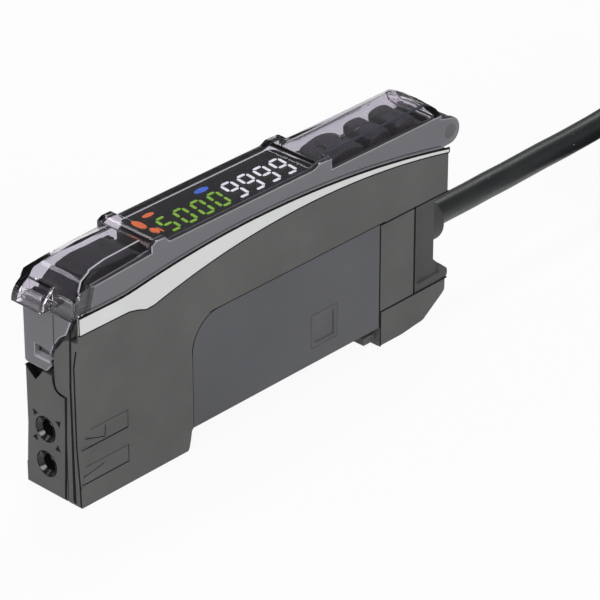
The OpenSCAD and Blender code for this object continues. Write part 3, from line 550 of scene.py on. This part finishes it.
def lit_digits(name, text, first, pitch, wide, low, high, lean, finish):
    """A row of leaning seven-segment digits with only its lit bars."""
    row = bmesh.new()
    bar, gap = 0.46, 0.34
    middle = (low + high) / 2
    bars = {"t": (0, high, 0), "m": (0, middle, 0), "b": (0, low, 0),
            "p": (-wide / 2, (middle + high) / 2, 90), "q": (wide / 2, (middle + high) / 2, 90),
            "r": (-wide / 2, (middle + low) / 2, 90), "s": (wide / 2, (middle + low) / 2, 90)}
    lit = {"0": "tbpqrs", "5": "tmbps", "9": "tmbpqs"}
    for i, digit in enumerate(text):
        for key in lit[digit]:
            x, y, turn = bars[key]
            long = (wide if turn == 0 else (high - low) / 2) - gap
            spot = Matrix.Translation(at(first + i * pitch + x, y, lit_z))
            size = Matrix.Diagonal((long / 1000, bar / 1000, lit_thick, 1))
            turned = Matrix.Rotation(math.radians(turn), 4, "Z")
            bmesh.ops.create_cube(row, size=1, matrix=spot @ turned @ size)
    ends = [e for e in row.edges if abs(e.verts[0].co.z - e.verts[1].co.z) > 1e-6]
    round_edges(row, ends, bar * 0.42 / 1000, 1)
    slant = Matrix(((1, lean, 0, -lean * middle / 1000), (0, 1, 0, 0), (0, 0, 1, 0), (0, 0, 0, 1)))
    bmesh.ops.transform(row, verts=row.verts, matrix=slant)
    put(name, row, "case", "lamp_resin", finish)


lit_digits("level_digits", "5000", 19.8, 3.03, 1.65, -2.9, 0.6, 0.15,
           glow("lit_green", (0.26, 0.56, 0.03), 1.1))
lit_digits("limit_digits", "9999", 32.1, 2.95, 1.75, -2.88, 1.2, 0.13,
           glow("lit_white", (0.80, 0.82, 0.85), 1.4))


def lit_mark(name, finish, *ovals):
    """Flat lit shapes on the pane, each given by its middle, half sizes and number of sides."""
    mark = bmesh.new()
    for x, y, half_x, half_y, sides in ovals:
        size = Matrix.Diagonal((half_x / 1000, half_y / 1000, 1, 1))
        bmesh.ops.create_circle(mark, cap_ends=True, segments=sides, radius=1,
                                matrix=Matrix.Translation(at(x, y, lit_z - 0.01)) @ size)
    pull_out(mark, (0, 0, lit_thick))
    put(name, mark, "case", "lamp_resin", finish)


lit_mark("output_marks", glow("lit_orange", (0.80, 0.17, 0.045), 1.2),
         (17.05, 1.25, 0.62, 1.3, 24), (17.35, -1.2, 0.5, 0.85, 24), (18.05, -1.5, 0.16, 0.75, 12),
         (19.65, 2.3, 1.0, 0.44, 8))
lit_mark("tuning_mark", glow("lit_blue", (0.05, 0.17, 0.72), 1.1), (29.0, 2.15, 1.2, 0.55, 28))

dress("indicator_lamps", moulded_finish("lamp_resin", (0.62, 0.16, 0.05), 0.35, 2500, 0.00001,
                                        tone=0.15))
dress("digit_module", moulded_finish("digit_body", (0.012, 0.012, 0.013), 0.5, 3000, 0.00002))

# Buttons
# A rocker and two push buttons of dark plastic stand in the wells of the deck, each over its own
# switch. Their crowned tops are coarsely eroded so that a finger doesn't slip.
button_plastic = moulded_finish("button_plastic", (0.115, 0.113, 0.122), 0.6, 2600, 0.00011,
                                tone=0.3, patch=3400)
rocker_crown = 0.9
key_bottom, key_half_wide, key_slices = 0.02725, 0.00268, 12
key_corner, key_rim = 0.0005, 0.0004
for name, node, body, crown in (("level_key", "level_rocker", "rocker", rocker_crown),
                                ("tune_key", "tune_button", "tune", 0.35),
                                ("mode_key", "mode_button", "mode", 0.35)):
    low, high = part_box(node)
    wide = min(-low.y, high.y, key_half_wide)
    long = high.x - low.x
    middle = (low + high) / 2
    half_up = (key_bottom + high.z) / 2
    key = bmesh.new()
    bmesh.ops.create_cube(key, size=1, matrix=Matrix.Translation((middle.x, 0, half_up))
                          @ Matrix.Diagonal((long, 2 * wide, high.z - key_bottom, 1)))
    upright = [e for e in key.edges if abs(e.verts[0].co.z - e.verts[1].co.z) > 1e-5]
    round_edges(key, upright, key_corner, 3)
    top = max(key.faces, key=lambda f: f.calc_center_median().z)
    round_edges(key, list(top.edges), key_rim, 4)
    for i in range(1, key_slices):
        bmesh.ops.bisect_plane(key, geom=key.verts[:] + key.edges[:] + key.faces[:],
                               plane_co=(low.x + long * i / key_slices, 0, 0), plane_no=(1, 0, 0))
    for v in key.verts:
        if v.co.z > half_up:
            off = (v.co.x - middle.x) / (long / 2)
            v.co.z -= crown / 1000 * off * off
    piece = put(name, key, body, "dark_plastic", button_plastic)
    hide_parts(node)
key_print = moulded_finish("key_print", (0.010, 0.010, 0.011), 0.55, 3000, 0.00001)
rocker_x, rocker_half, rocker_top = 50.977, 3.575, 31.0
sign_thick = 0.00005
signs = bmesh.new()
for x, half_x, half_y in ((49.2, 0.12, 0.75), (52.75, 0.12, 0.75), (52.75, 0.75, 0.12)):
    off = x - rocker_x
    rise = rocker_top - rocker_crown * (off / rocker_half) ** 2
    slope = math.atan(2 * rocker_crown * off / rocker_half ** 2)
    bmesh.ops.create_cube(signs, size=1, matrix=Matrix.Translation(at(x, 0, rise))
                          @ Matrix.Rotation(slope, 4, "Y")
                          @ Matrix.Diagonal((2 * half_x / 1000, 2 * half_y / 1000, sign_thick, 1)))
put("level_signs", signs, "rocker", "dark_plastic", key_print)
dress("tact_switches", moulded_finish("switch_tin", (0.52, 0.52, 0.51), 0.35, 3000, 0.00001,
                                      metal=1.0))

# Lock lever
# The lever under the hood turns on the deck's ears and pushes the fibre clamp down. It is a dark
# moulding with a grip groove across its nose.
lever_plastic = moulded_finish("lever_plastic", (0.070, 0.069, 0.074), 0.55, 2800, 0.00008,
                               tone=0.25, patch=3000)
moulded("lever", "lock_lever", "lever", "dark_plastic", 0.00018, lever_plastic, steps=3)

# Fibre holder, clamp and diodes
# The fibres run through a black guide, are gripped by a pale clamp that the lever pushes, and end
# at two small lensed diodes whose legs reach the main board.
holder_black = moulded_finish("holder_black", (0.014, 0.014, 0.014), 0.5, 3000, 0.00003)
clamp_pale = moulded_finish("clamp_pale", (0.46, 0.46, 0.43), 0.45, 3200, 0.00002)
lens_clear = moulded_finish("lens_clear", (0.40, 0.43, 0.47), 0.12, 1500, 0.000004)
lens_black = moulded_finish("lens_black", (0.020, 0.018, 0.026), 0.15, 1500, 0.000004)
for node, finish in (("fibre_holder", holder_black), ("fibre_clamp", clamp_pale),
                     ("emitter_diode", lens_clear), ("receiver_diode", lens_black),
                     ("signal_diode_near", lens_black), ("signal_diode_far", lens_black)):
    dress(node, finish)

# Boards
# Two green fibreglass boards, one upright in the case and one flat under the deck, carry a moulded
# chip, a sleeved capacitor and a plug for the three cores of the lead.
board_green = moulded_finish("board_green", (0.010, 0.075, 0.036), 0.3, 1800, 0.000012, tone=0.3,
                             patch=400)
chip_black = moulded_finish("chip_black", (0.011, 0.011, 0.011), 0.55, 3500, 0.00002)
sleeve_blue = moulded_finish("sleeve_blue", (0.022, 0.028, 0.060), 0.3, 1800, 0.000008)
plug_cream = moulded_finish("plug_cream", (0.66, 0.62, 0.50), 0.5, 3000, 0.00002)
wire_brown = moulded_finish("wire_brown", (0.095, 0.030, 0.012), 0.4, 2600, 0.000008)
for node, finish in (("main_board", board_green), ("display_board", board_green),
                     ("processor_chip", chip_black), ("storage_capacitor", sleeve_blue),
                     ("lead_connector", plug_cream), ("lead_wires", wire_brown)):
    dress(node, finish)

# Protective cover
# One clear smoked moulding, hinged on the deck's pins at the rear and latched by a tongue in front
# whose slot has a catch ledge. Its roof and near front corner are polished, while the flat side
# wall and the tongue are frosted. Its rounded edges, the hood's near ridge and the catch ledge are
# paled as painted highlight. The dome's near ridge, the far top edges over the display, a thin line
# just above the wall's lower edge and one down the front beside the tongue are painted shade in
# dark navy.
cover_finishes = []
# The last number of each finish pales it on marked faces, a painted highlight on the cover's
# rounded edges and ridge. The dark navy finish is painted shade.
for name, colour, rough, passes, scale, depth, edge in (
        ("clear_smoke", (0.80, 0.77, 0.83), 0.02, 1.0, 900, 0.000003, 1.2),
        ("frosted_smoke", (0.205, 0.20, 0.22), 0.42, 0.3, 4200, 0.00002, 2.9),
        ("painted_shade_smoke", (0.020, 0.020, 0.045), 0.5, 0.2, 4200, 0.00001, 1.0),
        ("pin_smoke", (0.155, 0.152, 0.165), 0.45, 0.3, 4200, 0.00001, 1.0)):
    finish, tree, shade, skin = new_finish(name, scale, patch=120)
    cover_finishes.append(finish)
    tint = colour_mix(tree, skin.outputs["Patch"], [c * 0.96 for c in colour],
                      [c * 1.03 for c in colour])
    highlight_mark = tree.nodes.new("ShaderNodeAttribute")
    highlight_mark.attribute_name = "wear_and_highlight"
    pale = colour_mix(tree, highlight_mark.outputs["Fac"], tint, [min(c * edge, 0.96) for c in colour])
    tree.links.new(pale, shade.inputs["Base Color"])
    grain_surface(tree, shade, skin, rough, rough * 1.5, strength=0.3, depth=depth)
    shade.inputs["Transmission Weight"].default_value = passes
    shade.inputs["IOR"].default_value = 1.5
clear_smoke, frosted_smoke, painted_shade_smoke, pin_smoke = cover_finishes
frosted, painted_shade_index = 1, 2
flat_on = 0.97
front_back, wall_inside = -0.033, -0.0039
tongue_top = 0.0268
clear_x, clear_z, clear_lean = -0.0320, 0.0280, 0.25
hood_end, dome_start = -0.021, 0.013
roof_low, roof_high = 0.0300, 0.0305
dome_half, dome_ramp, dome_crown = 0.0033, 0.012, 0.0003
front_corner_r = 0.0008


def cut(shape, faces, spot, across):
    """Cuts some faces of a shape along a plane."""
    edges = dict.fromkeys(e for f in faces for e in f.edges)
    corners = dict.fromkeys(v for f in faces for v in f.verts)
    bmesh.ops.bisect_plane(shape, geom=[*faces, *edges, *corners], plane_co=spot, plane_no=across)


lid = cad_copy("protective_cover")
front = [f for f in lid.faces
         if abs(f.normal.x) > flat_on and f.calc_center_median().x < front_back]
cut(lid, front, (0, 0, tongue_top), (0, 0, 1))
wall = [f for f in lid.faces
        if abs(f.normal.y) > flat_on and f.calc_center_median().y < wall_inside]
cut(lid, wall, (clear_x, 0, clear_z), (1, 0, -clear_lean))
for f in lid.faces:
    middle = f.calc_center_median()
    behind = middle.x - clear_x > clear_lean * (middle.z - clear_z)
    on_wall = abs(f.normal.y) > flat_on and middle.y < wall_inside and behind
    on_tongue = abs(f.normal.x) > flat_on and middle.z < tongue_top - 0.0001
    if on_wall or on_tongue:
        f.material_index = frosted
for y in (-0.0022, -0.0011, 0, 0.0011, 0.0022):
    dome = [f for f in lid.faces if abs(f.normal.y) < 0.2
            and f.calc_center_median().x > dome_start and f.calc_center_median().z > roof_low]
    cut(lid, dome, (0, y, 0), (0, 1, 0))
for v in lid.verts:
    if v.co.x > dome_start and v.co.z > roof_high and abs(v.co.y) < dome_half:
        rise = min((v.co.x - dome_start) / dome_ramp, 1) * (1 - (v.co.y / dome_half) ** 2)
        v.co.z += dome_crown * rise
join_flat(lid)
wear_and_highlight = lid.loops.layers.float.new("wear_and_highlight")
# The near ridge is rounded on the hood and on the dome. The hood's is marked pale in the frosted
# finish as a painted highlight; the dome's takes the dark navy finish as painted shade.
for on_hood, radius, material in ((True, 0.00017, frosted), (False, 0.00022, painted_shade_index)):
    ridge = []
    for e in lid.edges:
        start, end = e.verts[0].co, e.verts[1].co
        middle = (start + end) / 2
        lengthwise = abs(start.x - end.x) > 0.7 * e.calc_length()
        on_roof = (middle.x < hood_end) == on_hood and middle.z > roof_high
        if on_roof and middle.y < 0 and lengthwise:
            flatter, steeper = sorted(abs(f.normal.y) for f in e.link_faces)
            upward = all(f.normal.z > 0.4 for f in e.link_faces)
            if flatter < 0.3 < steeper < 0.8 and upward:
                ridge.append(e)
    ridge_faces = round_edges(lid, ridge, radius, 4, clamp=True)
    mark_wear_and_highlight(ridge_faces, wear_and_highlight)
    for f in ridge_faces:
        f.material_index = material
front_corner = [e for e in lid.edges if e.calc_length() > front_corner_r
                and all(v.co.x < -0.03455 and abs(v.co.y) > 0.0049 for v in e.verts)]
round_edges(lid, front_corner, front_corner_r, 4, clamp=True)
soften(lid, 0.00018, steps=3, corner=25)
# Painted shade: the rounded far top edges over the display take the dark navy finish.
for f in lid.faces:
    middle = f.calc_center_median()
    edge_wear_and_highlight = all(face_corner[wear_and_highlight] > 0.5 for face_corner in f.loops)
    if edge_wear_and_highlight and middle.y > 0.003 and hood_end < middle.x < dome_start and middle.z > 0.0285:
        f.material_index = painted_shade_index
cover = put("cover", lid, "cover", "clear_cover", clear_smoke, frosted_smoke, painted_shade_smoke,
            crease=12)
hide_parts("protective_cover")

cap_r, cap_thick = 0.00105, 0.00004
caps = bmesh.new()
for y in (-4.955, 4.955):
    sideways = Matrix.Rotation(math.radians(90), 4, "X")
    bmesh.ops.create_cone(caps, cap_ends=True, segments=32, radius1=cap_r, radius2=cap_r,
                          depth=cap_thick,
                          matrix=Matrix.Translation(at(69.2, y, 27.8)) @ sideways)
put("hinge_caps", caps, "cover", "clear_cover", pin_smoke)

catch = bmesh.new()
catch_middle, catch_slope = at(0.4, 1.3, 19.7), 0.00025
bmesh.ops.create_cube(catch, size=1, matrix=Matrix.Translation(catch_middle)
                      @ Matrix.Diagonal((0.0007, 0.0026, 0.0004, 1)))
for v in catch.verts:
    if v.co.x < catch_middle.x and v.co.z > catch_middle.z:
        v.co.z -= catch_slope
# Painted highlight: every face of the ledge is marked pale.
mark_wear_and_highlight(catch.faces, catch.loops.layers.float.new("wear_and_highlight"))
put("catch_ledge", catch, "cover", "clear_cover", frosted_smoke)

# Painted shade: a thin dark line on the near wall just above its lower edge, and one down the front
# beside the tongue.
lip_x, lip_high, lip_wide, tongue_line = at(1, 0, 0).x, 0.00048, 0.00013, 0.00016
lip = bmesh.new()
rim = cad_copy("protective_cover")
join_flat(rim, 0.5)
near_faces = [f for f in rim.faces if f.calc_center_median().y < -0.0045]
near_wall = max(near_faces, key=lambda f: f.calc_area())
for loop in near_wall.loops:
    start, end = loop.vert.co, loop.link_loop_next.vert.co
    inward = near_wall.normal.cross(end - start).normalized()
    if inward.z > 0.8 and (end - start).length > 0.001:
        start, end = [Vector((max(v.x, lip_x), v.y, v.z)) + inward * lip_high
                      for v in (start, end)]
        strip(lip, start, end, lip_wide, nearward)
rim.free()
strip(lip, at(front_x, -0.9, 26.6), at(front_x, -0.9, 21.7), tongue_line, frontward)
put("lip_and_tongue_shade", lip, "cover", "clear_cover", painted_shade_smoke)

# Rail hook
# The sliding heel of the case grips the mounting rail. It is moulded in the case's plastic, with a
# dark line along its front edge, and a coil spring of bright steel in its pocket pushes it forward
# against a fixed tongue.
moulded("heel_hook", "rail_hook", "hook", "case_plastic", 0.00022, case_plastic, steps=3)
heel_x, heel_line = 55.68, 0.0002
heel_edge = bmesh.new()
strip(heel_edge, at(heel_x, near_y, 0.1), at(heel_x, near_y, 5.2), heel_line, nearward)
put("heel_edge", heel_edge, "hook", "case_plastic", line_black)
spring_steel = moulded_finish("spring_steel", (0.55, 0.56, 0.57), 0.25, 2500, 0.000004, metal=1.0)
spring_low, spring_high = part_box("hook_spring")
spring_mid = (spring_low + spring_high) / 2
wire_r = 0.00017
coil_r = (spring_high.z - spring_low.z) / 2 - wire_r
coil_l = spring_high.x - spring_low.x - 2 * wire_r
coil_turns, coil_steps = 3.5, 112
coil = bmesh.new()
coil_start = (spring_low.x + wire_r, spring_mid.y + coil_r, spring_mid.z)
bmesh.ops.create_circle(coil, cap_ends=False, segments=10, radius=wire_r,
                        matrix=Matrix.Translation(coil_start))
bmesh.ops.spin(coil, geom=coil.verts[:] + coil.edges[:], cent=(0, spring_mid.y, spring_mid.z),
               axis=(1, 0, 0), dvec=(coil_l / coil_steps, 0, 0),
               angle=math.radians(360 * coil_turns), steps=coil_steps, use_merge=False)
bmesh.ops.holes_fill(coil, edges=[e for e in coil.edges if e.is_boundary], sides=0)
bmesh.ops.recalc_face_normals(coil, faces=coil.faces)
spring = put("heel_spring", coil, "case", "spring_steel", spring_steel)
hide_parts("hook_spring")
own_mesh(spring)

# Lead bush
# A dark grey bush closes the rear of the case under the overhang. Its sides are recessed for grip,
# and a round collar guides the lead out. The recess floors and the collar take a darker finish as
# painted shade.
bush_plastic = moulded_finish("bush_plastic", (0.078, 0.078, 0.076), 0.5, 3600, 0.00003, dusty=0.8)
bush_painted_shade = moulded_finish("bush_painted_shade", (0.052, 0.052, 0.051), 0.6, 3600, 0.00004)
bush = moulded("lead_bush", "cable_bush", "case", "dark_plastic", 0.00028, bush_plastic, steps=3)
bush.data.materials.append(bush_painted_shade)
bush_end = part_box("cable_bush")[1].x
collar_long, collar_low, grip_y = 0.0042, 0.009, 0.0048
# Painted shade: the recess floors and the collar take the darker finish.
for face in bush.data.polygons:
    sunk = abs(face.normal.y) > 0.9 and abs(face.center.y) < grip_y
    if sunk or (face.center.x > bush_end - collar_long and face.center.z > collar_low):
        face.material_index = 1

# Cores
# Three thin insulated wires come out of the end of the lead, in the usual brown, blue and black.
# Each is stripped for a few millimetres down to its tinned strands.
ends_low, ends_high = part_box("cable_ends")
core_r = (ends_high.z - ends_low.z) / 2
strand_r = core_r * 0.66
core_long, strand_long, tip_long = 0.0226, 0.0049, 0.0004
tinned = moulded_finish("tinned_strands", (0.50, 0.47, 0.43), 0.35, 2600, 0.00002, metal=1.0)
hank_low, hank_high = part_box("cable_hank")
hank_y = (hank_low.y + hank_high.y) / 2
lead_d, tail_long = 0.0038, 0.012
tail_end = Vector((hank_low.x + 4.5 * lead_d - tail_long, hank_y - 4 * lead_d,
                   ends_low.z + core_r))
core_pitch, core_fan = 0.00125, 3
for k, name, colour in ((-1, "core_brown", (0.095, 0.030, 0.012)),
                        (0, "core_blue", (0.018, 0.060, 0.210)),
                        (1, "core_black", (0.010, 0.010, 0.010))):
    core = bmesh.new()
    ring = bmesh.ops.create_circle(core, cap_ends=True, segments=16, radius=core_r)["verts"]
    face = ring[0].link_faces[0]
    for length, radius in ((core_long, core_r), (0, strand_r), (strand_long, strand_r),
                           (tip_long, core_r * 0.4)):
        grown = bmesh.ops.extrude_discrete_faces(core, faces=[face])["faces"]
        face = grown[0]
        bmesh.ops.translate(core, verts=face.verts, vec=(0, 0, length))
        wide = (face.verts[0].co.xy - face.calc_center_median().xy).length
        bmesh.ops.scale(core, verts=face.verts, vec=(radius / wide, radius / wide, 1))
    bmesh.ops.contextual_create(core, geom=ring)
    bmesh.ops.recalc_face_normals(core, faces=core.faces)
    for f in core.faces:
        if f.calc_center_median().z > core_long + 0.0001:
            f.material_index = 1
    turn = math.radians(core_fan * k)
    along = Vector((-math.cos(turn), math.sin(turn), 0))
    spot = Matrix.Translation(tail_end + Vector((0, core_pitch * k, 0)))
    bmesh.ops.transform(core, verts=core.verts,
                        matrix=spot @ along.to_track_quat("Z", "Y").to_matrix().to_4x4())
    sleeve = moulded_finish(name, colour, 0.42, 2600, 0.000008)
    piece = put(name, core, "case", "core_insulation", sleeve, tinned)
    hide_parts("cable_ends")

# Ties
# Two nylon straps hold the folded lead together. Each is wrapped round the hank once and drawn
# tight through its own head.
dress("hank_ties", moulded_finish("tie_nylon", (0.020, 0.020, 0.020), 0.45, 2200, 0.00004))

# Lead
# A round sheathed sensor cable of 2 m. It leaves the collar straight, and the length that isn't
# used is folded into a hank of two columns and four layers, with three bare cores at its end.
lead_high = 0.0124
lead_exit = Vector((bush_end, 0, lead_high))
lead_steps = [(0, 0), (4, 0), (8, 0), (12, 0.1), (16, 0.1), (20, 0.2), (24, 0.3), (28, 0.3),
              (32, 0.4), (35, 0.5), (38, 0.7), (41, 0.9), (44, 1.1), (46, 1.2), (48.5, 1.3)]
lead_path = [lead_exit + Vector((x, 0, z)) / 1000 for x, z in lead_steps]
fold_in, fold_out = 3 * lead_d, 4 * lead_d
hank_start = hank_low.x + fold_out + lead_d / 2
hank_end = hank_high.x - fold_out - lead_d / 2
hank_run = hank_end - hank_start
# Each turn has a column and a layer, and crosses to the next turn's on the near run
turns = [(fold_out, 3), (fold_in, 3), (fold_in, 2), (fold_out, 2),
         (fold_out, 1), (fold_in, 1), (fold_in, 0), (fold_out, 0)]
last_turn = len(turns) - 1
crossing, cross_from, lag = 0.018, 0.004, 0.0085
bend_steps, near_steps, far_steps = 12, 28, 10


def bend(x, r, z, first):
    """Half a turn of the lead round an end of the hank."""
    for i in range(bend_steps + 1):
        a = first - math.pi * i / bend_steps
        lead_path.append(Vector((x + r * math.cos(a), hank_y + r * math.sin(a), z)))


for x in (0.01, 0.02, 0.03, 0.04, 0.05, 0.06, 0.07):
    lead_path.append(Vector((hank_start + x, 0, hank_low.z + 3.5 * lead_d)))
for turn, (r, layer) in enumerate(turns):
    z = hank_low.z + (layer + 0.5) * lead_d
    bend(hank_end, r, z, math.pi / 2)
    after, below = turns[min(turn + 1, last_turn)]
    for i in range(1, near_steps):
        gone = hank_run * i / near_steps
        share = (gone - cross_from - (last_turn - 1 - turn) * lag) / crossing
        share = min(max(share, 0), 1)
        share = share * share * (3 - 2 * share)
        lead_path.append(Vector((hank_end - gone, hank_y - r - (after - r) * share,
                                 z + (below - layer) * lead_d * share)))
    if turn < last_turn:
        z = hank_low.z + (below + 0.5) * lead_d
        bend(hank_start, after, z, -math.pi / 2)
        for i in range(1, far_steps):
            lead_path.append(Vector((hank_start + hank_run * i / far_steps, hank_y + after, z)))
tail_start = Vector((hank_start, hank_y - fold_out, hank_low.z + lead_d / 2))
for x, z in ((0, 0), (-3, -0.1), (-6, -0.2), (-9, -0.3), (-12, -0.4)):
    lead_path.append(tail_start + Vector((x, 0, z)) / 1000)

lead_curve = bpy.data.curves.new("lead", "CURVE")
lead_curve.dimensions = "3D"
lead_curve.bevel_depth = lead_d / 2
lead_curve.bevel_resolution = 4
lead_curve.use_fill_caps = True
lead_curve.materials.append(moulded_finish("lead_jacket", (0.007, 0.010, 0.011), 0.42, 2400,
                                           0.00003, patch=300, dusty=1.0, shine=0.75))
run = lead_curve.splines.new("POLY")
run.points.add(len(lead_path) - 1)
for point, place in zip(run.points, lead_path):
    point.co = (*place, 1)
run.use_smooth = True
lead = bpy.data.objects.new("lead", lead_curve)
scene.collection.objects.link(lead)
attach(lead, "case")
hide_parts("cable_tube", "cable_hank")
